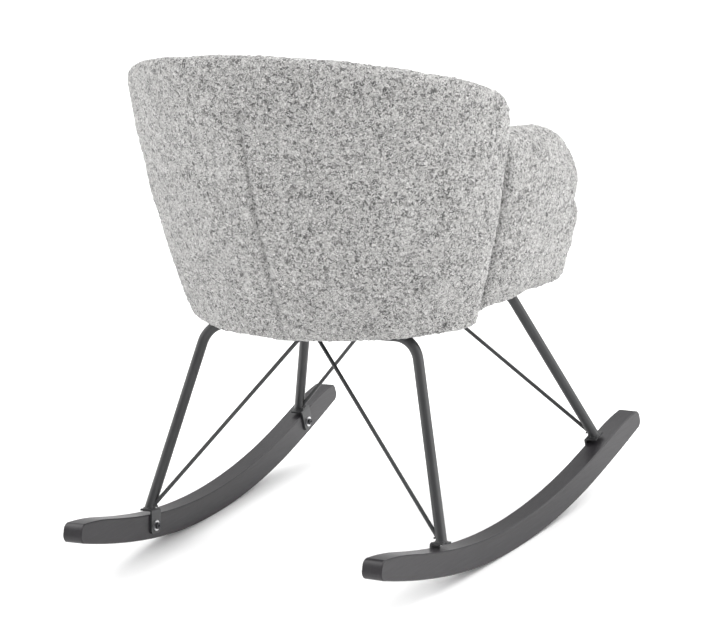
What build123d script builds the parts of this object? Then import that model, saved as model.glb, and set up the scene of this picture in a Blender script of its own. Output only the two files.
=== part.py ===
from build123d import *
from math import cos, degrees, radians, sin
import os

# Rocking chair: a padded tub seat on two bent steel tube frames, which stand on two curved wooden rockers.
# Millimetres. +Z is up, the sitter faces -Y, and +X is the sitter's left.
# Everything is drawn with the seat board level and the rockers' lowest point at the origin.
# At the end the whole chair is rolled by REST_TILT to the place where it balances.

# Rockers
ROCKER_WIDTH = 32.0
ROCKER_HEIGHT = 37.0
ROCKER_SPREAD = 557.0                 # over the outer faces, at the lowest point
ROCKER_TOE = 2.2                      # degrees each rocker opens towards the front
REAR_ARCS = [(243.0, 990.0), (176.0, 1500.0)]     # length and radius of each arc of the lower edge
FRONT_ARCS = [(227.0, 1100.0), (176.0, 2600.0)]
ROCKER_END_HEIGHT = 27.0                          # the top edge falls to this over TAPER_LENGTH
ROCKER_END_RADIUS = 11.0
TAPER_LENGTH = 85.0
ROCKER_EDGE = 1.5

# Leg frames: one bent tube each
TUBE_R = 8.0
TUBE_WALL = 1.5
BEND_R = 42.0
CROSSBAR_Z = 336.5
REAR_BAR_Y, REAR_BAR_HALF = 107.0, 175.0          # the crossbar, to where the legs' lines meet it
FRONT_BAR_Y, FRONT_BAR_HALF = -189.0, 172.0
REAR_FOOT_S, FRONT_FOOT_S = 214.0, 291.0          # place of each foot along the rocker's lower edge
FOOT_INSET = 9.0                                  # foot's axis outboard of the rocker's inner face
STAY_R = 3.0
STAY_RISE = -4.0                                  # where the stay's line meets the leg's, above the bracket
STAY_GAP = 4.5                                    # half the space between the stays' upper ends

# Foot brackets, bolts and inserts
PLATE = 3.0
BRACKET_WIDTH = 26.0
BRACKET_REACH = 17.5                              # top plate, outboard of the rocker's inner face
BRACKET_HOVER = 5.0                               # space between top plate and rocker
FLANGE_DROP = 29.0
FOOT_BOLT_DROP = 17.0
M6_R, M6_HOLE_R = 2.95, 3.3
HEAD_R, HEAD_H, HEX_R, HEX_DEPTH = 5.0, 3.6, 2.3, 2.2
WASHER_R, WASHER_T = 8.0, 1.5
FOOT_BOLT_LENGTH = 16.0
INSERT_R, INSERT_BORE_R, INSERT_LENGTH = 4.8, 3.0, 14.0

# Seat fixing
SADDLE_LENGTH, SADDLE_WIDTH, SADDLE_T = 46.0, 34.0, 4.0
SADDLE_BITE = 1.0                                 # the plate's underside, below the top of the tube
SADDLE_X = 105.0
SADDLE_BOLT_OFFSET = 22.0
SEAT_BOLT_LENGTH = 20.0
TEE_R, TEE_T, TEE_BARREL_R, TEE_BARREL_H = 9.5, 1.2, 4.0, 11.0

# Tub: height, half-width and rear depth of its outer ellipse. The ellipse's middle moves forward going up,
# and the front edges of the outer back, the lips, are there.
TUB_LEVELS = [(347.5, 239.0, 155.0), (450.0, 270.0, 187.0), (600.0, 301.0, 235.0), (768.0, 313.0, 254.0)]
LIP_Y = 26.0                                      # at the bottom of the tub
LIP_LEAN = 20.0 / 420.5                           # forward per height
DUST_COVER_T = 1.0
SEAT_BOARD_T = 15.0
OUTER_PAD = 16.0
SHELL_T = 9.0
INNER_PAD = 40.0
GAP = 0.3                                         # soft pieces stand this far off their neighbours
LIP_LAP = 32.0                                    # how far the lips reach over the outside of the arms
BACK_TOP_Z = 768.0
BACK_TOP_Y = 262.0                                # where the top edge is that high
BACK_TOP_FALL = 0.36                              # fall of the top edge per distance forward
BACK_CORNER_R = 50.0

ARM_FRONT_Y = -232.0
ARM_TOP_Z = 603.0
ARM_THICKNESS = 86.0
ARM_LEAN = 12.5                                   # outward lean, degrees
ARM_YAW = 4.5                                     # outward turn towards the front, degrees
ARM_FOOT_X = 254.0                                # outer face at the bottom, at ARM_PIVOT_Y
ARM_FRONT_R, ARM_UNDER_R, ARM_EDGE_R = 132.0, 76.0, 28.0
ARM_PIVOT_Y = -90.0
ARM_FOOT = 12.0                                   # cut off level below the tub's bottom
ARM_BOARD_T = 15.0
ARM_BOARD_INSET = 30.0

CUSHION_FRONT_Y = -240.0
CUSHION_T = 84.0
CUSHION_EDGE_R = 22.0
BOARD_FRONT_Y = -205.0

REST_TILT = -1.25                                 # negative leans the seat back
REST_SHIFT_Y = -8.1                               # puts the middle of the rockers over the origin


def arc_chain(arcs, offset):
    """Lower edge (offset 0) or upper edge (offset ROCKER_HEIGHT) of one half, as tangent arcs."""
    edges = []
    y, z, turned = 0.0, 0.0, 0.0
    for length, radius in arcs:
        turn = length / radius
        centre = (y - radius * sin(turned), z + radius * cos(turned))
        edges.append(CenterArc(centre, radius - offset, degrees(turned) - 90, degrees(turn)))
        turned += turn
        y, z = centre[0] + radius * sin(turned), centre[1] - radius * cos(turned)
    return edges


def station(arcs, s):
    """Point on a half's lower edge and the edge's slope there, at arc length s from the lowest point."""
    y, z, turned = 0.0, 0.0, 0.0
    for length, radius in arcs:
        step = min(s, length)
        turn = step / radius
        y, z = y + radius * (sin(turned + turn) - sin(turned)), z + radius * (cos(turned) - cos(turned + turn))
        turned, s = turned + turn, s - step
    return y, z, turned


def half_profile(arcs):
    """Side view of half a rocker: arcs of one height, then a top edge that falls to a lower round end."""
    low = arc_chain(arcs, 0)
    high = arc_chain(arcs[:-1] + [(arcs[-1][0] - TAPER_LENGTH, arcs[-1][1])], ROCKER_HEIGHT)
    middle = Line(low[0] @ 0, high[0] @ 0)
    tip, along = low[-1] @ 1, low[-1] % 1
    tip_top = tip + Vector(-along.Y, along.X) * ROCKER_END_HEIGHT
    fall = TangentArc(high[-1] @ 1, tip_top, tangent=high[-1] % 1)
    end = Line(tip, tip_top)
    outline = make_face(Wire(low + [end, fall] + high + [middle]).edges())
    ends = outline.vertices().sort_by(Axis.X)[-2:]
    return fillet(ends, ROCKER_END_RADIUS)


def toe_in(shape, side):
    """Move a piece from the rocker's own plane (inner face at x = 0, outboard +x) to its side of the chair."""
    inner_x = ROCKER_SPREAD / 2 - ROCKER_WIDTH
    placed = Pos(inner_x, 0, 0) * Rot(0, 0, ROCKER_TOE) * shape
    return placed if side > 0 else mirror(placed, about=Plane.YZ)


def foot_place(rear):
    """Local frame of a foot bracket: origin on the inner face's upper edge, z square to the rocker."""
    s = REAR_FOOT_S if rear else FRONT_FOOT_S
    y, z, slope = station(REAR_ARCS if rear else FRONT_ARCS, s)
    y, z = y - ROCKER_HEIGHT * sin(slope), z + ROCKER_HEIGHT * cos(slope)
    return Location((0, y, z), (degrees(slope), 0, 0)) if rear else Location((0, -y, z), (-degrees(slope), 0, 0))


def make_rocker(side):
    front = mirror(half_profile(FRONT_ARCS), about=Plane.YZ)
    outline = half_profile(REAR_ARCS) + front
    rocker = extrude(Plane.YZ * outline, ROCKER_WIDTH)
    rocker = rocker if rocker.bounding_box().max.X > 1 else Pos(ROCKER_WIDTH, 0, 0) * rocker
    long_edges = [e for e in rocker.edges() if abs(e.bounding_box().size.X) < 0.01]
    rocker = chamfer(long_edges, ROCKER_EDGE)
    for rear in (True, False):
        hole = Rot(0, 90, 0) * Cylinder(INSERT_R, INSERT_LENGTH + 1,
                                        align=(Align.CENTER, Align.CENTER, Align.MIN))
        rocker -= foot_place(rear) * Pos(0, 0, -FOOT_BOLT_DROP) * hole
    return toe_in(rocker, side)


def make_bracket(side, rear):
    """Folded plate: a top plate over the rocker and a flange down its inner face, with a bolt hole."""
    top = BRACKET_HOVER + PLATE
    outline = Polyline((BRACKET_REACH, BRACKET_HOVER), (BRACKET_REACH, top), (-PLATE, top),
                       (-PLATE, -FLANGE_DROP), (0, -FLANGE_DROP), (0, BRACKET_HOVER), close=True)
    face = make_face(Plane.XZ * outline)
    plate = extrude(face, BRACKET_WIDTH / 2, both=True)
    outer_bend = plate.edges().filter_by(Axis.Y).sort_by_distance(Vector(-PLATE, 0, top))[0]
    plate = fillet(outer_bend, PLATE + 1.5)
    inner_bend = plate.edges().filter_by(Axis.Y).sort_by_distance(Vector(0, 0, BRACKET_HOVER))[0]
    plate = fillet(inner_bend, 1.5)
    lower = plate.edges().filter_by(Axis.X).sort_by(Axis.Z)[:2]
    plate = fillet(lower, 7.0)
    plate -= Pos(0, 0, -FOOT_BOLT_DROP) * Rot(0, 90, 0) * Cylinder(M6_HOLE_R, 4 * PLATE)
    return toe_in(foot_place(rear) * plate, side)


def make_foot_hardware(side, rear):
    """Washer, socket-head bolt and threaded insert of one bracket."""
    place = foot_place(rear) * Pos(0, 0, -FOOT_BOLT_DROP) * Rot(0, 90, 0)
    up = (Align.CENTER, Align.CENTER, Align.MIN)
    down = (Align.CENTER, Align.CENTER, Align.MAX)
    washer = Pos(0, 0, -PLATE) * (Cylinder(WASHER_R, WASHER_T, align=down) - Cylinder(M6_HOLE_R, 8 * WASHER_T))
    seat = -PLATE - WASHER_T
    shank = Cylinder(M6_R, FOOT_BOLT_LENGTH, align=up)
    socket = Pos(0, 0, -HEAD_H) * extrude(RegularPolygon(HEX_R, 6), HEX_DEPTH)
    bolt = Pos(0, 0, seat) * (shank + Cylinder(HEAD_R, HEAD_H, align=down) - socket)
    insert = Cylinder(INSERT_R, INSERT_LENGTH, align=up) - Cylinder(INSERT_BORE_R, INSERT_LENGTH, align=up)
    return [toe_in(place * piece, side) for piece in (bolt, washer, insert)]


def foot_top(rear):
    """Centre of the bracket's top plate where the leg stands, on the left side of the chair."""
    local = foot_place(rear) * Pos(FOOT_INSET, 0, BRACKET_HOVER + PLATE)
    return toe_in(Pos(0, 0, 0) * Vertex(*local.position), 1).center()


def bar_of(rear):
    return (REAR_BAR_Y, REAR_BAR_HALF) if rear else (FRONT_BAR_Y, FRONT_BAR_HALF)


def make_leg_frame(rear):
    """Bent tube: foot, bend, crossbar, bend, foot. Its ends are cut to the brackets' top plates."""
    bar_y, bar_half = bar_of(rear)
    foot = foot_top(rear)
    corner = Vector(bar_half, bar_y, CROSSBAR_Z)
    below = foot + (foot - corner).normalized() * 14
    points = [below, corner, Vector(-bar_half, bar_y, CROSSBAR_Z), Vector(-below.X, below.Y, below.Z)]
    path = FilletPolyline(*points, radius=BEND_R)
    start = Plane(origin=path @ 0, z_dir=path % 0)
    tube = sweep(start * Circle(TUBE_R), path=path) - sweep(start * Circle(TUBE_R - TUBE_WALL), path=path)
    for side in (1, -1):
        below_plate = foot_place(rear) * Pos(0, 0, BRACKET_HOVER + PLATE)
        waste = below_plate * Box(90, 90, 40, align=(Align.CENTER, Align.CENTER, Align.MAX))
        tube -= toe_in(waste, side)
    return tube


def make_stay(side, rear):
    """Thin rod from a foot to the middle of the crossbar, welded to the tube at both ends."""
    bar_y, bar_half = bar_of(rear)
    foot = foot_top(rear)
    corner = Vector(bar_half, bar_y, CROSSBAR_Z)
    leg = (corner - foot).normalized()
    low = foot + leg * STAY_RISE
    high = Vector(STAY_GAP, bar_y, CROSSBAR_Z)
    rod = Solid.make_cylinder(STAY_R, (high - low).length, Plane(origin=low, z_dir=high - low))
    rod = rod if side > 0 else mirror(rod, about=Plane.YZ)
    bores = Solid.make_cylinder(TUBE_R, 200, Plane(origin=(-100, bar_y, CROSSBAR_Z), z_dir=(1, 0, 0)))
    leg_core = Solid.make_cylinder(TUBE_R, 150, Plane(origin=foot - leg * 20, z_dir=leg))
    leg_core = leg_core if side > 0 else mirror(leg_core, about=Plane.YZ)
    rod = rod - bores - leg_core
    return rod.solids().sort_by(SortBy.VOLUME)[-1]


def seat_bolt_places():
    """Bolt axes in plan: two beside each crossbar, on the side towards the middle of the seat."""
    return [(x, bar_y + inward * SADDLE_BOLT_OFFSET)
            for bar_y, inward in ((REAR_BAR_Y, -1), (FRONT_BAR_Y, 1)) for x in (SADDLE_X, -SADDLE_X)]


def make_saddles(rear):
    """Two flat plates welded on a crossbar, each with a hole for a seat bolt."""
    bar_y, _ = bar_of(rear)
    inward = -1 if rear else 1
    bottom = CROSSBAR_Z + TUBE_R - SADDLE_BITE
    saddles = []
    for x in (SADDLE_X, -SADDLE_X):
        middle_y = bar_y + inward * (SADDLE_LENGTH / 2 - 10)
        plate = Pos(x, middle_y, bottom) * Box(SADDLE_WIDTH, SADDLE_LENGTH, SADDLE_T,
                                               align=(Align.CENTER, Align.CENTER, Align.MIN))
        plate = fillet(plate.edges().filter_by(Axis.Z), 6)
        plate -= Pos(x, bar_y + inward * SADDLE_BOLT_OFFSET, bottom) * Cylinder(M6_HOLE_R, 4 * SADDLE_T)
        plate -= Pos(x, bar_y, CROSSBAR_Z) * Rot(0, 90, 0) * Cylinder(TUBE_R, 2 * SADDLE_WIDTH)
        saddles.append(plate)
    return saddles


def make_seat_hardware():
    """Bolts and washers under the saddles, and tee nuts let into the seat board's upper face."""
    under = CROSSBAR_Z + TUBE_R - SADDLE_BITE
    board_top = under + SADDLE_T + DUST_COVER_T + SEAT_BOARD_T
    down = (Align.CENTER, Align.CENTER, Align.MAX)
    up = (Align.CENTER, Align.CENTER, Align.MIN)
    bolts, washers, nuts = [], [], []
    for x, y in seat_bolt_places():
        washers.append(Pos(x, y, under) * (Cylinder(WASHER_R, WASHER_T, align=down)
                                           - Cylinder(M6_HOLE_R, 8 * WASHER_T)))
        head = Cylinder(HEAD_R, HEAD_H, align=down)
        socket = Pos(0, 0, -HEAD_H) * extrude(RegularPolygon(HEX_R, 6), HEX_DEPTH)
        shank = Cylinder(M6_R, SEAT_BOLT_LENGTH, align=up)
        bolts.append(Pos(x, y, under - WASHER_T) * (shank + head - socket))
        flange = Cylinder(TEE_R, TEE_T, align=up) + Cylinder(TEE_BARREL_R, TEE_BARREL_H, align=down)
        nuts.append(Pos(x, y, board_top) * (flange - Cylinder(INSERT_BORE_R, 8 * TEE_BARREL_H)))
    return bolts, washers, nuts


def lip_y(z):
    return LIP_Y - LIP_LEAN * (z - TUB_LEVELS[0][0])


def tub_section(z, half, depth, inset, setback):
    """Plan of the tub's outer surface at one height, drawn in by inset: an ellipse cut off at the lips."""
    whole = Pos(0, lip_y(z)) * Ellipse(half - inset, depth - inset)
    front = Pos(0, lip_y(z) + setback - 500) * Rectangle(2000, 1000)
    return Pos(0, 0, z) * (whole - front)


def tub_body(inset, setback):
    """Solid inside the tub's outer surface, drawn in by inset and cut off setback behind the lips."""
    return loft([tub_section(z, half, depth, inset, setback) for z, half, depth in TUB_LEVELS])


def behind_lips(setback):
    """Everything behind the plane that runs setback behind the lips."""
    low, high = 200.0, 900.0
    side = make_face(Polyline((lip_y(low) + setback, low), (900, low), (900, high),
                              (lip_y(high) + setback, high), close=True))
    return extrude(Plane.YZ * side, 1000, both=True)


def back_trim(bottom_z, top_inset):
    """Slab that trims a back piece: level bottom, top edge that falls forward, round corner at the lips."""
    far_y, overshoot = 330.0, 4.0
    low = lip_y(bottom_z) - overshoot
    corner_z = BACK_TOP_Z - top_inset - BACK_TOP_FALL * (BACK_TOP_Y - lip_y(BACK_TOP_Z))
    far_z = BACK_TOP_Z - top_inset + BACK_TOP_FALL * (far_y - BACK_TOP_Y)
    corner = (lip_y(corner_z) - overshoot, corner_z)
    face = make_face(Polyline((low, bottom_z), corner, (far_y, far_z), (far_y, bottom_z), close=True))
    face = fillet(face.vertices().sort_by_distance(Vector(*corner, 0))[0], BACK_CORNER_R)
    return extrude(Plane.YZ * face, 900, both=True)


def make_back_layer(outer_inset, inner_inset, setback, bottom_z, top_inset):
    """One layer of the back wall, between two insets of the tub's outer surface."""
    layer = tub_body(outer_inset, setback) - tub_body(inner_inset, setback - 1)
    layer = layer & back_trim(bottom_z, top_inset)
    return layer.solids().sort_by(SortBy.VOLUME)[-1]


def outside_tub(inset, setback):
    """Everything outside the tub surface drawn in by inset, from setback behind the lips."""
    return behind_lips(setback) - tub_body(inset, setback - 1)


def arm_place(shape):
    """Lean and turn a piece, drawn with the arm's outer face at x = 0, to the left side of the chair."""
    leaned = Rot(0, ARM_LEAN, 0) * Pos(0, 0, -TUB_LEVELS[0][0]) * shape
    return Pos(ARM_FOOT_X, ARM_PIVOT_Y, TUB_LEVELS[0][0]) * Rot(0, 0, ARM_YAW) * Pos(0, -ARM_PIVOT_Y, 0) * leaned


def beyond_arm_face(x):
    """Slab that fills the space outboard of the plane x = const of the left arm."""
    return arm_place(Pos(x, 0, 450) * Box(300, 1200, 700, align=(Align.MIN, Align.CENTER, Align.CENTER)))


def make_arm_plate(inset, thickness, edge_r):
    """D-shaped plate in the arm's own plane, its rim rounded by edge_r, with a long foot to be cut level."""
    front, top, bottom = ARM_FRONT_Y + inset, ARM_TOP_Z - inset, TUB_LEVELS[0][0] - ARM_FOOT
    back = LIP_Y + LIP_LAP + 60
    outline = make_face(Polyline((back, bottom), (back, top), (front, top), (front, bottom), close=True))
    front_top = outline.vertices().sort_by_distance(Vector(front, top, 0))[0]
    outline = fillet(front_top, ARM_FRONT_R - inset)
    front_under = outline.vertices().sort_by_distance(Vector(front, bottom, 0))[0]
    outline = fillet(front_under, ARM_UNDER_R - inset / 2)
    plate = extrude(Plane.YZ * outline, thickness / 2, both=True)
    if edge_r:
        rim = [e for e in plate.edges() if e.bounding_box().size.X < 0.01 and e.center().Z > bottom + 1
               and e.center().Y < back - 1]
        plate = fillet(rim, edge_r)
    return arm_place(Pos(-ARM_THICKNESS / 2, 0, 0) * plate)


def below(z):
    return Pos(0, 0, z) * Box(2000, 2000, 400, align=(Align.CENTER, Align.CENTER, Align.MAX))


def make_arm_board(board_bottom):
    board = make_arm_plate(ARM_BOARD_INSET, ARM_BOARD_T, 0)
    return board - below(board_bottom) - behind_lips(LIP_LAP)


def make_arm_pad(board_top):
    """Padded arm: round-edged D, slotted from below for its board and notched over the seat board."""
    pad = make_arm_plate(0, ARM_THICKNESS, ARM_EDGE_R)
    pad = pad - below(TUB_LEVELS[0][0]) - behind_lips(LIP_LAP - GAP)
    pad -= outside_tub(OUTER_PAD + GAP, -GAP)
    slot = make_arm_plate(ARM_BOARD_INSET - GAP, ARM_BOARD_T + 2 * GAP, 0)
    pad -= slot
    inner = Pos(0, 0, board_top + GAP) * Box(2000, 2000, 400, align=(Align.CENTER, Align.CENTER, Align.MAX))
    inner -= beyond_arm_face(-ARM_THICKNESS / 2)
    pad -= inner
    return pad.solids().sort_by(SortBy.VOLUME)[-1]


def make_seat_plate(bottom, thickness, inset):
    """Flat plate with the tub's plan: straight sides forward of the lips, elliptical behind."""
    _, half, depth = TUB_LEVELS[0]
    rear = Pos(0, LIP_Y) * Ellipse(half - inset, depth - inset)
    front = Pos(0, (LIP_Y + BOARD_FRONT_Y) / 2) * Rectangle(2 * (half - inset), LIP_Y - BOARD_FRONT_Y)
    plate = extrude(Pos(0, 0, bottom) * (rear + front), thickness)
    edge = beyond_arm_face(-(ARM_THICKNESS + ARM_BOARD_T) / 2)
    return plate - edge - mirror(edge, about=Plane.YZ)


def drill_seat_bolts(plate, radius):
    for x, y in seat_bolt_places():
        plate -= Pos(x, y, CROSSBAR_Z) * Cylinder(radius, 200)
    return plate


def make_cushion(bottom):
    """Seat cushion: a block whose round nose hangs over the seat board, clear of arms and inner back."""
    reach = LIP_Y + TUB_LEVELS[0][2]
    length = reach - CUSHION_FRONT_Y
    block = Pos(0, CUSHION_FRONT_Y + length / 2, bottom) * Box(
        2 * TUB_LEVELS[0][1], length, CUSHION_T, align=(Align.CENTER, Align.CENTER, Align.MIN))
    nose = Pos(0, CUSHION_FRONT_Y, TUB_LEVELS[0][0]) * Box(
        2 * TUB_LEVELS[0][1], BOARD_FRONT_Y - GAP - CUSHION_FRONT_Y, CUSHION_T,
        align=(Align.CENTER, Align.MIN, Align.MIN))
    block += nose
    block = fillet(block.edges().filter_by(Axis.X).sort_by(Axis.Y)[:2], CUSHION_EDGE_R)
    arm = beyond_arm_face(-ARM_THICKNESS - GAP)
    block = block - arm - mirror(arm, about=Plane.YZ)
    block -= outside_tub(OUTER_PAD + SHELL_T + INNER_PAD + 3 * GAP, LIP_LAP - GAP)
    return block.solids().sort_by(SortBy.VOLUME)[-1]


def roll_to_rest(shape):
    """Roll the chair on its rockers from the drawn place to its balance, lowest point back on the floor."""
    centre_z = (REAR_ARCS if REST_TILT < 0 else FRONT_ARCS)[0][1]
    turned = Rot(REST_TILT, 0, 0) * shape
    return Pos(0, REST_SHIFT_Y, centre_z * (1 - cos(radians(REST_TILT)))) * turned


nodes = {}
for side, name in ((1, "left"), (-1, "right")):
    nodes[f"{name}_rocker"] = make_rocker(side)

foot_hardware = []
for rear, end in ((True, "rear"), (False, "front")):
    nodes[f"{end}_leg_frame"] = make_leg_frame(rear)
    nodes[f"{end}_saddle_plates"] = make_saddles(rear)
    for side, name in ((1, "left"), (-1, "right")):
        nodes[f"{end}_{name}_stay"] = make_stay(side, rear)
        nodes[f"{end}_{name}_bracket"] = make_bracket(side, rear)
        foot_hardware.append(make_foot_hardware(side, rear))
nodes["foot_bolts"], nodes["foot_washers"], nodes["rocker_inserts"] = map(list, zip(*foot_hardware))
nodes["seat_bolts"], nodes["seat_washers"], nodes["tee_nuts"] = make_seat_hardware()

cover_bottom = CROSSBAR_Z + TUBE_R - SADDLE_BITE + SADDLE_T
board_bottom = cover_bottom + DUST_COVER_T
board_top = board_bottom + SEAT_BOARD_T
nodes["dust_cover"] = drill_seat_bolts(make_seat_plate(cover_bottom, DUST_COVER_T, OUTER_PAD + 2), M6_HOLE_R)
nodes["seat_board"] = drill_seat_bolts(make_seat_plate(board_bottom, SEAT_BOARD_T, OUTER_PAD + GAP),
                                       TEE_BARREL_R + 0.05)
shell_in = OUTER_PAD + GAP + SHELL_T
nodes["back_shell"] = make_back_layer(OUTER_PAD + GAP, shell_in, LIP_LAP, board_top, 22)
nodes["outer_back_pad"] = make_back_layer(0, OUTER_PAD, 0, cover_bottom, 0)
nodes["inner_back_pad"] = make_back_layer(shell_in + GAP, shell_in + GAP + INNER_PAD, LIP_LAP,
                                          board_top + GAP, 8)
arm_board = make_arm_board(board_bottom)
arm_pad = make_arm_pad(board_top)
for piece, kind in ((arm_board, "arm_board"), (arm_pad, "arm_pad")):
    nodes[f"left_{kind}"] = piece
    nodes[f"right_{kind}"] = mirror(piece, about=Plane.YZ)
nodes["seat_cushion"] = make_cushion(board_top + TEE_T + GAP)

os.makedirs("parts", exist_ok=True)
for name, piece in nodes.items():
    if isinstance(piece, list):
        placed = Compound(children=[roll_to_rest(single) for single in piece])
    else:
        placed = roll_to_rest(piece)
    export_step(placed, f"parts/{name}.step")
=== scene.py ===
import bmesh
import bpy
import numpy as np
from mathutils import Matrix, Vector


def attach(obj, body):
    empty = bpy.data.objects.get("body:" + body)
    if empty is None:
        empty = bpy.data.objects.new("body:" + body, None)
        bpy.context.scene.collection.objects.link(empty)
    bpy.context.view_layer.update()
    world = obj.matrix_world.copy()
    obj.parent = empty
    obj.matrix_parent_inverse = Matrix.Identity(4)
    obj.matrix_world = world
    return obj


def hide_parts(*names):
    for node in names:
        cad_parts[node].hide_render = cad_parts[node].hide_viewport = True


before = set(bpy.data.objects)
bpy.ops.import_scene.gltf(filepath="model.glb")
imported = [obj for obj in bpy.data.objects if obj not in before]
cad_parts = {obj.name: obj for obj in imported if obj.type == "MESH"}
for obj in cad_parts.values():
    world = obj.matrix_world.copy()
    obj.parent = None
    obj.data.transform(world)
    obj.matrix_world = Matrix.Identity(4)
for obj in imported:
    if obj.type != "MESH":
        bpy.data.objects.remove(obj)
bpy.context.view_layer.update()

# Camera, floor and light.
# A long lens stands behind the chair on the sitter's right, above the level of its top edge. The
# floor is one pale sheet, lit by a white room and three wide suns: one above and one on each side.
CAMERA_PLACE = (-2.1052, 3.5968, 1.3402)
CAMERA_AZIMUTH, CAMERA_RISE, CAMERA_ROLL = np.radians((210.157, 13.659, -3.641))
CAMERA_LENS, SENSOR_WIDTH, CAMERA_REACH = 145.39, 36.0, 50.0
FLOOR_HALF = 9.0
FLOOR_WHITE = 0.97
ROOM_STRENGTH = 0.56
# Name, direction towards it, its width as an angle, and its power.
SUNS = (("lamp_above", (0.1, -0.15, 1.0), 1.5, 1.8),
        ("lamp_left", (0.98, 0.22, 0.62), 1.3, 1.85),
        ("lamp_right", (-0.92, -0.46, 0.55), 1.3, 2.6))

bpy.context.scene.view_settings.view_transform = "Standard"

away = Vector((np.sin(CAMERA_AZIMUTH) * np.cos(CAMERA_RISE),
               -np.cos(CAMERA_AZIMUTH) * np.cos(CAMERA_RISE), np.sin(CAMERA_RISE)))
level = Vector((np.cos(CAMERA_AZIMUTH), np.sin(CAMERA_AZIMUTH), 0.0))
upright = away.cross(level)
right = np.cos(CAMERA_ROLL) * level + np.sin(CAMERA_ROLL) * upright
up = -np.sin(CAMERA_ROLL) * level + np.cos(CAMERA_ROLL) * upright
lens = bpy.data.cameras.new("camera")
lens.lens, lens.sensor_width, lens.clip_end = CAMERA_LENS, SENSOR_WIDTH, CAMERA_REACH
camera = bpy.data.objects.new("camera", lens)
turned = Matrix((right, up, away)).transposed().to_4x4()
camera.matrix_world = Matrix.Translation(CAMERA_PLACE) @ turned
bpy.context.scene.collection.objects.link(camera)
bpy.context.scene.camera = camera


def link(name, mesh, smooth=True):
    """Put a mesh into the scene as an object at the origin."""
    piece = bpy.data.objects.new(name, mesh)
    bpy.context.scene.collection.objects.link(piece)
    mesh.shade_smooth() if smooth else mesh.shade_flat()
    return piece


def new_material(name):
    """Empty node material; returns it with its node tree, its shader and its Object coordinates."""
    made = bpy.data.materials.new(name)
    made.use_nodes = True
    tree = made.node_tree
    shader = tree.nodes["Principled BSDF"]
    coords = tree.nodes.new("ShaderNodeTexCoord").outputs["Object"]
    return made, tree, shader, coords


def node(tree, kind, inputs=None, **settings):
    """Add a node, set its options and its input values, and wire in any input given as a socket."""
    made = tree.nodes.new(kind)
    for key, value in settings.items():
        setattr(made, key, value)
    for key, value in (inputs or {}).items():
        if isinstance(value, bpy.types.NodeSocket):
            tree.links.new(value, made.inputs[key])
        else:
            made.inputs[key].default_value = value
    return made


def ramp(tree, factor, stops):
    """Colour ramp over grey or coloured stops: (position, (r, g, b))."""
    made = node(tree, "ShaderNodeValToRGB", {0: factor})
    while len(made.color_ramp.elements) < len(stops):
        made.color_ramp.elements.new(0.5)
    for element, (place, colour) in zip(made.color_ramp.elements, stops):
        element.position, element.color = place, (*colour, 1.0)
    return made.outputs["Color"]


floor_corners = [(x * FLOOR_HALF, y * FLOOR_HALF, 0) for x, y in ((-1, -1), (1, -1), (1, 1), (-1, 1))]
floor_mesh = bpy.data.meshes.new("floor")
floor_mesh.from_pydata(floor_corners, [], [(0, 1, 2, 3)])
floor = link("floor", floor_mesh, smooth=False)
paper, _, shader, _ = new_material("floor_paper")
shader.inputs["Base Color"].default_value = (FLOOR_WHITE, FLOOR_WHITE, FLOOR_WHITE, 1)
shader.inputs["Roughness"].default_value = 0.9
floor_mesh.materials.append(paper)

world = bpy.data.worlds.new("white_room")
world.use_nodes = True
background = world.node_tree.nodes["Background"]
background.inputs["Color"].default_value = (1.0, 1.0, 1.0, 1)
background.inputs["Strength"].default_value = ROOM_STRENGTH
bpy.context.scene.world = world

for name, towards, width, power in SUNS:
    lamp = bpy.data.lights.new(name, "SUN")
    lamp.angle, lamp.energy = width, power
    stand = bpy.data.objects.new(name, lamp)
    stand.matrix_world = Vector(towards).to_track_quat("Z", "Y").to_matrix().to_4x4()
    bpy.context.scene.collection.objects.link(stand)


# The rockers.
# Two bent and planed hardwood runners, stained black and given a satin lacquer. The stain lets a
# little of the grain through.
def black_stained_wood():
    """Grain that runs with the runner: stretched noise in the stain, finer noise as relief."""
    made, tree, shader, coords = new_material("black_stained_wood")
    along = node(tree, "ShaderNodeMapping", {"Vector": coords, "Scale": (60.0, 2.4, 60.0)})
    grain = node(tree, "ShaderNodeTexNoise", {"Vector": along.outputs[0], "Scale": 5.0, "Detail": 6.0,
                                              "Roughness": 0.65, "Distortion": 0.4})
    pores = node(tree, "ShaderNodeMapping", {"Vector": coords, "Scale": (420.0, 9.0, 420.0)})
    pore = node(tree, "ShaderNodeTexNoise", {"Vector": pores.outputs[0], "Scale": 3.0, "Detail": 3.0})
    colour = ramp(tree, grain.outputs["Fac"], [(0.3, (0.0125, 0.0110, 0.0130)),
                                               (0.55, (0.018, 0.0165, 0.0190)),
                                               (0.75, (0.025, 0.0230, 0.0260))])
    tree.links.new(colour, shader.inputs["Base Color"])
    rough = node(tree, "ShaderNodeMapRange", {"Value": pore.outputs["Fac"], "To Min": 0.30, "To Max": 0.46})
    tree.links.new(rough.outputs[0], shader.inputs["Roughness"])
    shader.inputs["Specular IOR Level"].default_value = 0.34
    shader.inputs["Coat Weight"].default_value = 0.12
    shader.inputs["Coat Roughness"].default_value = 0.22
    relief = node(tree, "ShaderNodeBump", {"Height": pore.outputs["Fac"], "Strength": 0.12,
                                           "Distance": 0.0006})
    tree.links.new(relief.outputs[0], shader.inputs["Normal"])
    return made


def finish_nodes(material, names):
    """Give a CAD node's object one material in every slot."""
    for name in names:
        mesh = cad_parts[name].data
        mesh.materials.clear()
        mesh.materials.append(material)


finish_nodes(black_stained_wood(), ["left_rocker", "right_rocker"])


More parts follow.
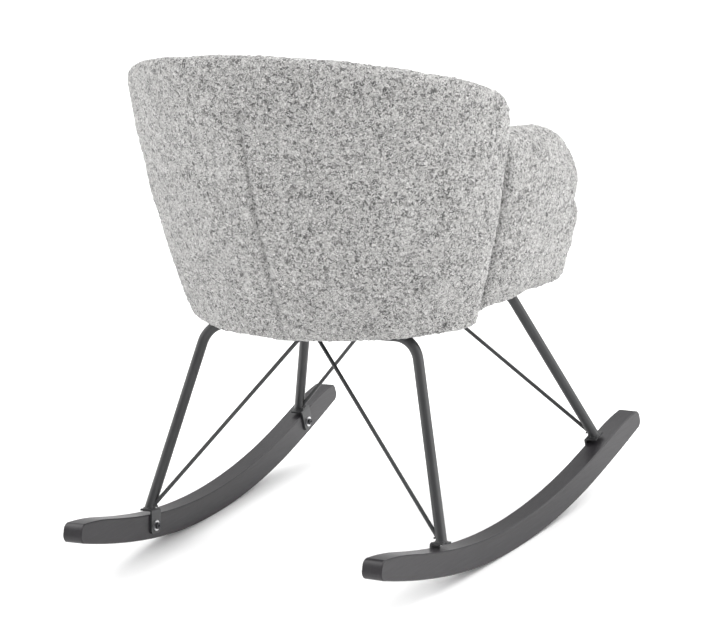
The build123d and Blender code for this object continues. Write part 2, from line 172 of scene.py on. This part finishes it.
# The leg frames.
# Round steel tube bent into two wide arches, with thin rods and folded plates welded on, all powder
# coated dark grey. The coat has a fine orange peel.
def powder_coat():
    """Dark grey with a faint cloudiness and a fine pebbled relief."""
    made, tree, shader, coords = new_material("grey_powder_coat")
    cloud = node(tree, "ShaderNodeTexNoise", {"Vector": coords, "Scale": 24.0, "Detail": 3.0})
    colour = ramp(tree, cloud.outputs["Fac"], [(0.3, (0.024, 0.0245, 0.026)), (0.7, (0.034, 0.0345, 0.036))])
    tree.links.new(colour, shader.inputs["Base Color"])
    shader.inputs["Roughness"].default_value = 0.40
    peel = node(tree, "ShaderNodeTexNoise", {"Vector": coords, "Scale": 1500.0, "Detail": 2.0})
    relief = node(tree, "ShaderNodeBump", {"Height": peel.outputs["Fac"], "Strength": 0.16,
                                           "Distance": 0.0003})
    tree.links.new(relief.outputs[0], shader.inputs["Normal"])
    return made


finish_nodes(powder_coat(), [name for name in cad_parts
                             if name.endswith(("leg_frame", "_stay", "_bracket", "saddle_plates"))])


# The seat shell.
# Bent and flat plywood boards inside the upholstery, which hides them. The seat board is finished
# further down, because the cover is wrapped over it.
def plywood():
    """Thin plies: bands of two browns across the height, with fine noise along the grain."""
    made, tree, shader, coords = new_material("plywood")
    parts = node(tree, "ShaderNodeSeparateXYZ", {"Vector": coords})
    plies = node(tree, "ShaderNodeMath", {0: parts.outputs["Z"], 1: 2100.0}, operation="MULTIPLY")
    wave = node(tree, "ShaderNodeMath", {0: plies.outputs[0]}, operation="SINE")
    grain = node(tree, "ShaderNodeTexNoise", {"Vector": coords, "Scale": 160.0, "Detail": 4.0})
    mixed = node(tree, "ShaderNodeMath", {0: wave.outputs[0], 1: 0.2, 2: grain.outputs["Fac"]},
                 operation="MULTIPLY_ADD")
    colour = ramp(tree, mixed.outputs[0], [(0.2, (0.36, 0.24, 0.13)), (0.7, (0.58, 0.42, 0.25))])
    tree.links.new(colour, shader.inputs["Base Color"])
    shader.inputs["Roughness"].default_value = 0.7
    return made


finish_nodes(plywood(), ["back_shell", "left_arm_board", "right_arm_board"])


# The bolts and washers.
# Black oxide socket-head bolts over bright zinc-plated washers, at the four feet and under the seat.
def plain_metal(name, colour, roughness):
    """Bare or plated metal with faint blotches in its roughness."""
    made, tree, shader, coords = new_material(name)
    shader.inputs["Base Color"].default_value = (*colour, 1)
    shader.inputs["Metallic"].default_value = 1.0
    blotch = node(tree, "ShaderNodeTexNoise", {"Vector": coords, "Scale": 700.0, "Detail": 3.0})
    rough = node(tree, "ShaderNodeMapRange", {"Value": blotch.outputs["Fac"],
                                              "To Min": roughness - 0.06, "To Max": roughness + 0.08})
    tree.links.new(rough.outputs[0], shader.inputs["Roughness"])
    return made


finish_nodes(plain_metal("zinc_plate", (0.62, 0.62, 0.63), 0.34),
             ["foot_washers", "seat_washers", "tee_nuts", "rocker_inserts"])
finish_nodes(plain_metal("black_oxide", (0.06, 0.06, 0.065), 0.42), ["foot_bolts", "seat_bolts"])


# The welds.
# A small fillet of weld metal runs round each tube end on its bracket and round both ends of each
# thin rod, under the same dark coat.
FOOT_BAND = 0.0075                      # the cut end of a leg tube lies within this height
ROD_CIRCLE, ROD_INSET = 0.0029, 0.0022
TUBE_BEAD, ROD_BEAD = 0.0016, 0.0010    # bead radii
BEAD_TURNS, BEAD_SIDES = 48, 10


def corners_of(mesh):
    """The mesh's points as rows of an array."""
    flat = np.empty(len(mesh.vertices) * 3)
    mesh.vertices.foreach_get("co", flat)
    return flat.reshape(-1, 3)


def full_turn(count):
    """Even angles all the way round."""
    return np.linspace(0, 2 * np.pi, count, endpoint=False)


def end_ring(mesh, sign):
    """Corners of a leg tube's outer edge at its foot, on the side of the chair that sign gives."""
    corners = corners_of(mesh)
    corners = corners[corners[:, 0] * sign > 0]
    return corners[corners[:, 2] < corners[:, 2].min() + FOOT_BAND]


def rod_rings(mesh):
    """A circle round each end of a thin rod, a little in from it."""
    corners = corners_of(mesh)
    middle = (corners.min(0) + corners.max(0)) / 2
    _, _, axes = np.linalg.svd(corners - middle)
    reach = (corners - middle) @ axes[0]
    turn = full_turn(24)[:, None]
    circle = ROD_CIRCLE * (np.cos(turn) * axes[1] + np.sin(turn) * axes[2])
    return [middle + axes[0] * (end - ROD_INSET * np.sign(end)) + circle
            for end in (reach.min(), reach.max())]


def bead(ring, thickness, seed):
    """Closed bead along a ring of points: a small circle swept round it, with a weld's ripple."""
    centre = ring.mean(0)
    _, _, axes = np.linalg.svd(ring - centre)
    flat = (ring - centre) @ axes.T
    turn = full_turn(BEAD_TURNS)
    around = np.arctan2(flat[:, 1], flat[:, 0])
    radius = np.hypot(flat[:, 0], flat[:, 1])
    outer = radius > 0.9 * radius.max()
    order = np.argsort(around[outer])
    far = np.interp(turn, around[outer][order], radius[outer][order], period=2 * np.pi)
    high = np.interp(turn, around[outer][order], flat[outer][order][:, 2], period=2 * np.pi)
    ripple = thickness * (1 + 0.16 * np.sin(turn * 11 + seed) + 0.1 * np.sin(turn * 5 + 2 * seed))
    section = full_turn(BEAD_SIDES)
    reach = far[:, None] + ripple[:, None] * np.cos(section)
    grid = np.stack([reach * np.cos(turn)[:, None], reach * np.sin(turn)[:, None],
                     high[:, None] + ripple[:, None] * np.sin(section)], -1) @ axes + centre
    index = np.arange(BEAD_TURNS * BEAD_SIDES).reshape(BEAD_TURNS, BEAD_SIDES)
    ahead, beside = np.roll(index, -1, 0), np.roll(index, -1, 1)
    faces = np.stack([index, ahead, np.roll(ahead, -1, 1), beside], -1).reshape(-1, 4)
    return grid.reshape(-1, 3), faces


def outward(mesh):
    """Merge doubled corners and turn every face outwards."""
    work = bmesh.new()
    work.from_mesh(mesh)
    bmesh.ops.remove_doubles(work, verts=work.verts, dist=1e-5)
    bmesh.ops.dissolve_degenerate(work, edges=work.edges, dist=1e-6)
    bmesh.ops.recalc_face_normals(work, faces=work.faces)
    work.to_mesh(mesh)
    work.free()


def many(name, shapes):
    """One mesh out of several (points, faces) pairs."""
    corners, faces, used = [], [], 0
    for points, quads in shapes:
        corners.append(points)
        faces.extend((np.asarray(quads) + used).tolist())
        used += len(points)
    mesh = bpy.data.meshes.new(name)
    mesh.from_pydata(np.concatenate(corners).tolist(), [], faces)
    outward(mesh)
    return mesh


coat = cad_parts["rear_leg_frame"].data.materials[0]
for end in ("rear", "front"):
    shapes = []
    for seed, (side, sign) in enumerate((("left", 1), ("right", -1))):
        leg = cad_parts[f"{end}_leg_frame"].data
        shapes.append(bead(end_ring(leg, sign), TUBE_BEAD, seed))
        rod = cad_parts[f"{end}_{side}_stay"].data
        shapes.extend(bead(ring, ROD_BEAD, 3 * seed + 1) for ring in rod_rings(rod))
    welds = link(f"{end}_welds", many(f"{end}_welds", shapes))
    welds.data.materials.append(coat)
    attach(welds, "root")


# The upholstery.
# Foam over the shell, covered in a pale grey looped fabric: an outer back that wraps from arm to arm
# with one seam down its middle, an inner back, two round-fronted arms and a crowned seat. All of it
# is drawn in millimetres with the seat level.
REST_TILT = np.radians(-1.25)           # the chair rests rolled back a little on its rockers
REST_FORWARD, REST_LIFT = 8.1, 0.24
TUB_FOOT, TUB_TOP = 347.5, 768.0        # underside of the seat board, and the top at the middle back
CREST_Y = 262                           # where the top edge is highest
SWELL_FRAMES = 20
PILE_HEIGHT, FOAM_HEIGHT = 0.00055, 0.0006


def settle(points):
    """Drawn millimetre points as metres where the chair rests."""
    x, y, z = points[..., 0], points[..., 1], points[..., 2]
    return np.stack([x, y * np.cos(REST_TILT) - z * np.sin(REST_TILT) - REST_FORWARD,
                     y * np.sin(REST_TILT) + z * np.cos(REST_TILT) + REST_LIFT], -1) / 1000


def unsettle(points):
    """Back from metres at rest to the drawn millimetres."""
    x, y, z = points.T * 1000
    y, z = y + REST_FORWARD, z - REST_LIFT
    return np.stack([x, y * np.cos(-REST_TILT) - z * np.sin(-REST_TILT),
                     y * np.sin(-REST_TILT) + z * np.cos(-REST_TILT)], -1)


def tub_half(z):
    """Half-width and rear depth of the tub's outer surface by height, and the y of its front edges."""
    rise = (z - TUB_FOOT) / (TUB_TOP - TUB_FOOT)
    return (239 + 77 * (1.75 * rise - 0.75 * rise ** 2), 155 + 103 * (1.6 * rise - 0.6 * rise ** 2),
            26 - 24 * rise)


def tub_surface(angle, z, inset):
    """Points of the tub's surface, drawn in by inset: at each height half an ellipse, slightly flattened
    between its ends and its middle, with angle 0 at the middle back."""
    half, depth, lip = tub_half(z)
    flatten = 1 - 0.026 * np.sin(2 * np.abs(angle)) ** 2
    return np.stack([(half - inset) * flatten * np.sin(angle),
                     lip + (depth - inset) * flatten * np.cos(angle), z], -1)


def top_edge(angle, drop, corner):
    """Height of the top edge: highest at the middle back, falling forward and round the lips' corners.

    The depth it needs depends on the height, so the two are found together by repetition."""
    z = np.full_like(angle, 740.0)
    for _ in range(12):
        _, depth, lip = tub_half(z)
        behind = depth * np.cos(angle)
        easing = np.clip((corner - behind) / corner, 0, 1)
        z = (TUB_TOP - drop - 0.36 * (CREST_Y - lip - behind) - corner * (1 - np.sqrt(1 - easing ** 2))
             - 6 * np.clip((150 - behind) / 150, 0, 1) ** 2)
    return z


def even(count):
    """Even shares from 0 to 1."""
    return np.linspace(0, 1, count)


def grid_faces(index):
    """Four-sided faces between neighbours in a grid of point numbers."""
    return np.stack([index[:-1, :-1], index[1:, :-1], index[1:, 1:], index[:-1, 1:]], -1).reshape(-1, 4)


def slab(middle, thickness, edge, soft):
    """Closed pad round a middle surface: thickness follows a quarter ellipse in from the soft borders.

    middle is a grid of points, and soft says which of its four borders (first row, last row, first
    column, last column) are round, each with a factor on its distance; the others end flat."""
    down, across = np.gradient(middle, axis=0), np.gradient(middle, axis=1)
    normal = np.cross(down, across)
    normal /= np.maximum(np.linalg.norm(normal, axis=-1, keepdims=True), 1e-9)
    borders = (middle[0], middle[-1], middle[:, 0], middle[:, -1])
    near = np.full(middle.shape[:2], 1e9)
    for factor, border in zip(soft, borders):
        if factor:
            for row in range(len(middle)):
                gap = np.linalg.norm(middle[row][:, None] - border[None], axis=-1).min(1)
                near[row] = np.minimum(near[row], factor * gap)
    rise = thickness / 2 * np.sqrt(1 - (1 - np.clip(near / edge, 0, 1)) ** 2)
    rows, columns = middle.shape[:2]
    skins = np.concatenate([middle + normal * rise[..., None], middle - normal * rise[..., None]])
    index = np.arange(rows * columns).reshape(rows, columns)
    quads = grid_faces(index)
    other = index + rows * columns
    rim = []
    for front, back in ((index[0], other[0]), (index[-1], other[-1]), (index[:, 0], other[:, 0]),
                        (index[:, -1], other[:, -1])):
        rim.append(np.stack([front[:-1], front[1:], back[1:], back[:-1]], -1))
    faces = np.concatenate([quads, quads + rows * columns] + rim)
    return skins.reshape(-1, 3), faces


def baked(piece, kind, **settings):
    """The piece's mesh with one modifier of a kind applied."""
    modifier = piece.modifiers.new(kind.lower(), kind)
    for key, value in settings.items():
        setattr(modifier, key, value)
    seen = piece.evaluated_get(bpy.context.evaluated_depsgraph_get())
    mesh = bpy.data.meshes.new_from_object(seen)
    piece.modifiers.remove(modifier)
    return mesh


def swollen(mesh, voxel, pressure, cap):
    """The cover after the foam has pushed it out: an even remesh, then cloth under pressure.

    No point moves further than cap metres from its start. A smooth subdivision comes last."""
    piece = link("swelling", mesh)
    piece.data = baked(piece, "REMESH", mode="VOXEL", voxel_size=voxel)
    start = corners_of(piece.data)
    if pressure:
        cloth = piece.modifiers.new("cover", "CLOTH")
        cloth.settings.use_pressure = True
        cloth.settings.uniform_pressure_force = pressure
        cloth.settings.effector_weights.gravity = 0
        cloth.point_cache.frame_start, cloth.point_cache.frame_end = 1, SWELL_FRAMES
        for step in range(1, SWELL_FRAMES + 1):
            bpy.context.scene.frame_set(step)
        seen = piece.evaluated_get(bpy.context.evaluated_depsgraph_get())
        moved = bpy.data.meshes.new_from_object(seen)
        shift = corners_of(moved) - start
        length = np.linalg.norm(shift, axis=1, keepdims=True)
        start = start + shift * (cap * np.tanh(length / cap) / np.maximum(length, 1e-9))
        piece.modifiers.remove(cloth)
        bpy.context.scene.frame_set(1)
        piece.data.vertices.foreach_set("co", start.ravel())
        piece.data.update()
    fine = baked(piece, "SUBSURF", levels=1, render_levels=1)
    bpy.data.objects.remove(piece)
    return fine


def wave_sum(points, wavelengths, count, seed):
    """Sum of cosines in random directions, with unit root mean square: a smooth random field in space."""
    chance = np.random.default_rng(seed)
    total = np.zeros(len(points))
    for _ in range(count):
        way = chance.normal(size=3)
        way *= 2 * np.pi / (np.linalg.norm(way) * chance.uniform(*wavelengths))
        total += np.cos(points @ way + chance.uniform(0, 2 * np.pi))
    return total * np.sqrt(2 / count)


def loops(mesh, seed):
    """Push the fine mesh in and out along its normals like curled pile over slightly uneven foam."""
    points = corners_of(mesh)
    normals = np.empty(len(points) * 3)
    mesh.vertex_normals.foreach_get("vector", normals)
    pile = wave_sum(points, (0.0065, 0.012), 26, seed) * PILE_HEIGHT
    foam = wave_sum(points, (0.06, 0.13), 14, seed + 1) * FOAM_HEIGHT
    points = points + normals.reshape(-1, 3) * (pile + foam)[:, None]
    mesh.vertices.foreach_set("co", points.ravel())
    mesh.update()


def boucle():
    """Looped yarn: cells of warped noise, each with its own grey, with painted shade between them where the
    loops dip, and raised relief.

    A point attribute adds painted shade to the pile along the outer back's middle stitching and where the
    arms tuck in."""
    made, tree, shader, coords = new_material("pale_grey_boucle")
    bend = node(tree, "ShaderNodeTexNoise", {"Vector": coords, "Scale": 170.0, "Detail": 3.0})
    push = node(tree, "ShaderNodeVectorMath", {0: bend.outputs["Color"], 1: (0.5, 0.5, 0.5)},
                operation="SUBTRACT")
    warped = node(tree, "ShaderNodeVectorMath", {0: push.outputs[0], 1: (0.017,) * 3, 2: coords},
                  operation="MULTIPLY_ADD")
    cells = node(tree, "ShaderNodeTexVoronoi", {"Vector": warped.outputs[0], "Scale": 400.0})
    yarn = node(tree, "ShaderNodeSeparateXYZ", {"Vector": cells.outputs["Color"]})
    patch = node(tree, "ShaderNodeTexNoise", {"Vector": coords, "Scale": 34.0, "Detail": 4.0,
                                              "Roughness": 0.6})
    drift = node(tree, "ShaderNodeMapRange", {"Value": patch.outputs["Fac"], "From Min": 0.3,
                                              "From Max": 0.7, "To Min": -0.10, "To Max": 0.10})
    tone = node(tree, "ShaderNodeMath", {0: yarn.outputs["X"], 1: drift.outputs[0]}, operation="ADD")
    shade = ramp(tree, tone.outputs[0], [(0.0, (0.09, 0.088, 0.086)), (0.14, (0.20, 0.196, 0.192)),
                                         (0.34, (0.52, 0.513, 0.502)), (0.64, (0.68, 0.672, 0.66)),
                                         (1.0, (0.82, 0.812, 0.797))])
    # Painted shade: the pile darkens towards each cell's border, where the loops dip between their
    # neighbours.
    gap = ramp(tree, cells.outputs["Distance"], [(0.25, (1, 1, 1)), (0.80, (0.42, 0.42, 0.42))])
    both = node(tree, "ShaderNodeMix", {0: 1.0, 6: shade, 7: gap}, data_type="RGBA",
                blend_type="MULTIPLY")
    fibre = node(tree, "ShaderNodeTexNoise", {"Vector": coords, "Scale": 1100.0, "Detail": 2.0})
    fine = node(tree, "ShaderNodeMapRange", {"Value": fibre.outputs["Fac"], "From Min": 0.3,
                                             "From Max": 0.7, "To Min": 0.80, "To Max": 1.14})
    # Painted shade from a point attribute: up to about a third darker along the seam and the tucks.
    painted_shade_mark = node(tree, "ShaderNodeAttribute", attribute_name="crease_shade")
    dark = node(tree, "ShaderNodeMath", {0: painted_shade_mark.outputs["Fac"], 1: -0.32, 2: 1.0},
                operation="MULTIPLY_ADD")
    value = node(tree, "ShaderNodeMath", {0: fine.outputs[0], 1: dark.outputs[0]}, operation="MULTIPLY")
    toned = node(tree, "ShaderNodeVectorMath", {0: both.outputs[2], "Scale": value.outputs[0]},
                 operation="SCALE")
    tree.links.new(toned.outputs[0], shader.inputs["Base Color"])
    shader.inputs["Roughness"].default_value = 0.95
    shader.inputs["Specular IOR Level"].default_value = 0.2
    shader.inputs["Sheen Weight"].default_value = 0.25
    shader.inputs["Sheen Roughness"].default_value = 0.6
    height = node(tree, "ShaderNodeMath", {0: cells.outputs["Distance"], 1: -1.0, 2: fibre.outputs["Fac"]},
                  operation="MULTIPLY_ADD")
    relief = node(tree, "ShaderNodeBump", {"Height": height.outputs[0], "Strength": 0.8,
                                           "Distance": 0.0016})
    tree.links.new(relief.outputs[0], shader.inputs["Normal"])
    return made


cover = boucle()
finish_nodes(cover, ["seat_board"])     # its front corners show, wrapped in the cover


def upholstered(name, mesh, node_name, crease_shade=None):
    """Finish one padded piece and let it stand for its CAD node; the last argument is painted shade,
    darkening it point by point.
    """
    piece = link(name, mesh)
    crease_shade = np.zeros(len(mesh.vertices)) if crease_shade is None else crease_shade
    mark = mesh.attributes.new("crease_shade", "FLOAT", "POINT")
    mark.data.foreach_set("value", crease_shade)
    mesh.materials.clear()
    mesh.materials.append(cover)
    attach(piece, "root")
    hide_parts(node_name)
    return piece


# The outer back.
# One padded wall from lip to lip. Its rounded lips lap over the outsides of the arms, and a sewn seam
# pulls a shallow groove down the middle, which fades towards the top.
OUTER_THICK = 26.0
OUTER_FOOT = 338
SEAM_HALF, SEAM_DEPTH = 0.0032, 0.0026
REAR_ONLY = 0.09                        # the seam is on the outside, behind this y
angle, part = np.meshgrid(np.radians(np.linspace(-90, 90, 181)), even(101), indexing="ij")
crest = top_edge(angle, -2.5, 40.0)
wall = tub_surface(angle, OUTER_FOOT + (crest - OUTER_FOOT) * part, OUTER_THICK / 2)
points, faces = slab(wall, OUTER_THICK, OUTER_THICK / 2, (1, 1, 1, 1))
outer_mesh = swollen(many("outer_back", [(settle(points), faces)]), 0.006, 0, 0)
loops(outer_mesh, 11)
points = corners_of(outer_mesh)
off_seam = np.abs(points[:, 0]) / SEAM_HALF
fade = np.interp(points[:, 2], (0.35, 0.6, 0.76), (1, 0.9, 0.35))
groove_and_shade = np.exp(-off_seam ** 2) * (points[:, 1] > REAR_ONLY) * fade
points[:, 1] -= SEAM_DEPTH * groove_and_shade
outer_mesh.vertices.foreach_set("co", points.ravel())
outer_mesh.update()
# The same profile that sinks the seam also paints shade into it.
upholstered("outer_back", outer_mesh, "outer_back_pad", groove_and_shade)


# The inner back.
# A thicker pad inside the outer one, with its own rounded top. Its front edges are tucked behind the
# arms, and above the arms they come forward, nearly to the lips.
INNER_THICK = 40.0
INNER_FOOT = 372
INNER_INSET = 27.5                      # from the tub's outer surface to the pad
ARM_LEVEL = 596                         # where the front edges start to come forward
angle, part = np.meshgrid(np.radians(np.linspace(-90, 90, 151)), even(91), indexing="ij")
crest = top_edge(angle, 3.0, 38.0)
height = INNER_FOOT + (crest - INNER_FOOT) * part
_, depth, _ = tub_half(height)
clear = np.clip((height - ARM_LEVEL) / 50, 0, 1)
tuck = 34 - 24 * clear ** 2 * (3 - 2 * clear)
limit = np.arccos(tuck / (depth - 47))
wall = tub_surface(angle * limit / (np.pi / 2), height, INNER_INSET + INNER_THICK / 2)
points, faces = slab(wall, INNER_THICK, 19.0, (1, 1, 0, 1))
inner_mesh = swollen(many("inner_back", [(settle(points), faces)]), 0.006, 3.0, 0.006)
loops(inner_mesh, 23)
upholstered("inner_back", inner_mesh, "inner_back_pad")


# The arms.
# Each is a thick pad shaped like a lying D, leaning outwards, with a full round front. Its back end
# tucks in between the outer and inner backs, and its underside is level.
ARM_THICK = 86.0
ARM_FRONT, ARM_BACK = -246.0, 60.0
ARM_FOOT, ARM_CHIN, ARM_TOP = 337.0, 476.0, 611     # the chin is the height of the foremost point
TOP_FALLS, FOOT_RISES = -62, -194                   # y where the two curves of the front begin
ARM_LEAN, ARM_YAW = np.radians(12.5), np.radians(4.5)
ARM_X, ARM_Y = 254, -90                             # the place it leans and turns about
LIP_ROUND = 13                                      # radius of the outer back's rounded lip


def arm_outline(part_back, part_up):
    """Middle surface of an arm in its own plane: two quarter ellipses at the front, straight behind."""
    y = ARM_FRONT + (ARM_BACK - ARM_FRONT) * (1 - np.cos(part_back * np.pi / 2))
    over = np.clip((TOP_FALLS - y) / (TOP_FALLS - ARM_FRONT), 0, 1)
    under = np.clip((FOOT_RISES - y) / (FOOT_RISES - ARM_FRONT), 0, 1)
    high = ARM_CHIN + (ARM_TOP - ARM_CHIN) * np.sqrt(1 - over ** 2)
    low = ARM_CHIN - (ARM_CHIN - ARM_FOOT) * np.sqrt(1 - under ** 2)
    return np.stack([np.full_like(y, -ARM_THICK / 2), y, low + (high - low) * part_up], -1)


def arm_place(points):
    """Lean the left arm outwards and open it towards the front."""
    x, y, z = points[..., 0], points[..., 1] - ARM_Y, points[..., 2] - TUB_FOOT
    x, z = x * np.cos(ARM_LEAN) + z * np.sin(ARM_LEAN), -x * np.sin(ARM_LEAN) + z * np.cos(ARM_LEAN)
    return np.stack([ARM_X + x * np.cos(ARM_YAW) - y * np.sin(ARM_YAW),
                     ARM_Y + x * np.sin(ARM_YAW) + y * np.cos(ARM_YAW), z + TUB_FOOT], -1)


def tucked(points):
    """Bring the outer face, towards and behind the lips, against the inside of the outer back.

    It is drawn in a little just ahead of the lips. Also gives the painted shade on each point there, where
    the lip overhangs it."""
    half, depth, lip = tub_half(points[:, 2])
    behind = points[:, 1] - lip
    offset = 12.6 + OUTER_THICK / 2 * np.sqrt(1 - (1 - np.clip(behind / LIP_ROUND, 0, 1)) ** 2)
    offset = offset + 7 * np.exp(-((behind + 10) / 14) ** 2)
    target = (half - offset) * np.sqrt(1 - np.clip(behind / (depth - offset), 0, 1) ** 2)
    outer = np.clip((points[:, 0] - target + 36) / 22, 0, 1) * np.clip((behind + 75) / 65, 0, 1)
    points = points.copy()
    points[:, 0] += outer * (target - points[:, 0])
    # The second value is painted shade, strongest just ahead of the lips, where they overhang the face.
    return points, 1.7 * np.exp(-((behind + 12) / 13) ** 2) * outer


part_back, part_up = np.meshgrid(even(81), even(81), indexing="ij")
points, faces = slab(arm_outline(part_back, part_up), ARM_THICK, 40.0, (1, 0, 2.0, 1))
arm_mesh = swollen(many("arm", [(settle(arm_place(points)), faces)]), 0.005, 4.0, 0.008)
arm_points = unsettle(corners_of(arm_mesh))
for side, sign in (("left", 1), ("right", -1)):
    mesh = arm_mesh.copy()
    mesh.name = f"{side}_arm"
    # The second value from tucked is painted shade for the arm's pile.
    placed, tuck_shade = tucked(arm_points)
    mesh.vertices.foreach_set("co", (settle(placed) * (sign, 1, 1)).ravel())
    if sign < 0:
        mesh.flip_normals()
    mesh.update()
    loops(mesh, 37 + sign)
    upholstered(f"{side}_arm", mesh, f"{side}_arm_pad", tuck_shade)


# The seat cushion.
# A crowned block between the arms, round at the front, where its nose hangs over the seat board.
SEAT_HALF = np.array([184.0, 158.0, 40.0])
SEAT_MIDDLE = np.array([0.0, -82.0, 406.0])
SEAT_ROUND = 26                         # radius of its edges
SEAT_STEPS = 61


def cushion():
    """Rounded box, then widened upwards between the leaning arms, bowed behind and crowned on top.

    At the front its underside comes lower, over the edge of the seat board."""
    side = np.linspace(-1, 1, SEAT_STEPS)
    u, v = np.meshgrid(side, side, indexing="ij")
    one = np.ones_like(u)
    sheets = [np.stack(order, -1) for order in ((u, v, one), (u, v, -one), (u, one, v), (u, -one, v),
                                                (one, u, v), (-one, u, v))]
    shapes = []
    quads = grid_faces(np.arange(SEAT_STEPS ** 2).reshape(SEAT_STEPS, SEAT_STEPS))
    for sheet in sheets:
        box = sheet * SEAT_HALF
        core = np.clip(box, -(SEAT_HALF - SEAT_ROUND), SEAT_HALF - SEAT_ROUND)
        out = box - core
        box = core + SEAT_ROUND * out / np.maximum(np.linalg.norm(out, axis=-1, keepdims=True), 1e-9)
        along, back, up = sheet[..., 0], sheet[..., 1], sheet[..., 2]
        x = box[..., 0] * (1 + box[..., 2] * 0.2217 / 180)
        narrow = 1 - 0.07 * np.clip(box[..., 1] / SEAT_HALF[1], -1, 1)
        y = box[..., 1] - 34 * np.clip(back, 0, 1) * np.clip(np.abs(along), 0, 1) ** 2.2
        z = box[..., 2] + 13 * np.clip(up, 0, 1) * (1 - along ** 2) * (1 - back ** 4)
        ahead = np.clip((-116 - y) / 14, 0, 1)
        z = z - 18 * ahead * np.clip(-up, 0, 1)
        shapes.append((np.stack([x * narrow, y, z], -1).reshape(-1, 3) + SEAT_MIDDLE, quads))
    return shapes


sheets = [(settle(points), quads) for points, quads in cushion()]
seat_mesh = swollen(many("seat", sheets), 0.0055, 4.0, 0.008)
loops(seat_mesh, 51)
upholstered("seat", seat_mesh, "seat_cushion")


# The dust cover.
# Thin black felted cloth, stretched under the seat board and stapled along its edge. It sags a little,
# except over the two crossbars.
def felt():
    """Black non-woven cloth: fine random fibres in colour and relief."""
    made, tree, shader, coords = new_material("black_felt")
    fibre = node(tree, "ShaderNodeTexNoise", {"Vector": coords, "Scale": 900.0, "Detail": 4.0})
    colour = ramp(tree, fibre.outputs["Fac"], [(0.35, (0.012, 0.012, 0.013)), (0.7, (0.035, 0.035, 0.036))])
    tree.links.new(colour, shader.inputs["Base Color"])
    shader.inputs["Roughness"].default_value = 0.9
    relief = node(tree, "ShaderNodeBump", {"Height": fibre.outputs["Fac"], "Strength": 0.4,
                                           "Distance": 0.0004})
    tree.links.new(relief.outputs[0], shader.inputs["Normal"])
    return made


BOARD_HALF, BOARD_REAR, BOARD_FRONT = 221.0, 123.0, 243.0
BOARD_Y = 40                            # where the straight sides end and the rear curve begins
SHEET_TURNS, SHEET_RINGS = 192, 24
SHEET_Y = -20                           # the middle of the sheet
SHEET_LOW, SHEET_HIGH = 347.6, 348.4    # its two faces
SAG = 1.6
STAPLE_EACH, STAPLE_SHARE = 6, 0.95     # one at every sixth angle, at this share of the way out


def cover_outline(turn, inset):
    """Plan of the seat board, drawn in: half an ellipse behind, straight sides and front, by angle."""
    half, depth = BOARD_HALF - inset, BOARD_REAR - inset
    x, y = half * np.sin(turn), BOARD_Y + depth * np.cos(turn)
    front = np.cos(turn) < 0
    sweep = np.maximum(np.abs(np.sin(turn)) / half, np.abs(np.cos(turn)) / (BOARD_FRONT - inset))
    x = np.where(front, np.sin(turn) / sweep, x)
    y = np.where(front, BOARD_Y + np.cos(turn) / sweep, y)
    return x, y


turn = full_turn(SHEET_TURNS)
reach = even(SHEET_RINGS)
edge_x, edge_y = cover_outline(turn, 4.0)
leaning = np.interp(edge_y, (-205, 40, 90), (199.0, 207.0, 222.0))
edge_x = np.clip(edge_x, -leaning, leaning)
sheet_x = reach[:, None] * edge_x
sheet_y = reach[:, None] * (edge_y - SHEET_Y) + SHEET_Y
sag = SAG * (1 - reach[:, None] ** 2) * np.ones_like(sheet_x)
for bar_y in (107.0, -189.0):
    sag *= 1 - np.exp(-((sheet_y - bar_y) / 26) ** 2) * (np.abs(sheet_x) < 130)
low = np.stack([sheet_x, sheet_y, SHEET_LOW - sag], -1)
high = np.stack([sheet_x, sheet_y, SHEET_HIGH - sag], -1)
one_face = SHEET_RINGS * SHEET_TURNS
ring = np.arange(one_face).reshape(SHEET_RINGS, SHEET_TURNS)
beside = np.roll(ring, -1, 1)
quads = np.stack([ring[:-1], beside[:-1], beside[1:], ring[1:]], -1).reshape(-1, 4)
rim = np.stack([ring[-1], beside[-1], beside[-1] + one_face, ring[-1] + one_face], -1)
points = settle(np.concatenate([low.reshape(-1, 3), high.reshape(-1, 3)]))
sheet_mesh = many("dust_sheet", [(points, np.concatenate([quads, quads + one_face, rim]))])
dust_sheet = link("dust_sheet", sheet_mesh)
sheet_mesh.materials.append(felt())
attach(dust_sheet, "root")
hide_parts("dust_cover")

staples = []
block = np.array([(x, y, z) for z in (-1, 1) for y in (-1, 1) for x in (-1, 1)], float)
sides = np.array([(0, 1, 3, 2), (4, 5, 7, 6), (0, 1, 5, 4), (2, 3, 7, 6), (0, 2, 6, 4), (1, 3, 7, 5)])
staple_x = edge_x[::STAPLE_EACH] * STAPLE_SHARE
staple_y = (edge_y[::STAPLE_EACH] - SHEET_Y) * STAPLE_SHARE + SHEET_Y
for x, y, aim in zip(staple_x, staple_y, turn[::STAPLE_EACH]):
    way = np.array([[np.cos(aim), np.sin(aim), 0], [-np.sin(aim), np.cos(aim), 0], [0, 0, 1]])
    staples.append((settle((block * (5.0, 0.5, 0.35)) @ way + (x, y, 347.0)), sides))
staple_piece = link("staples", many("staples", staples), smooth=False)
staple_piece.data.materials.append(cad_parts["foot_washers"].data.materials[0])
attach(staple_piece, "root")
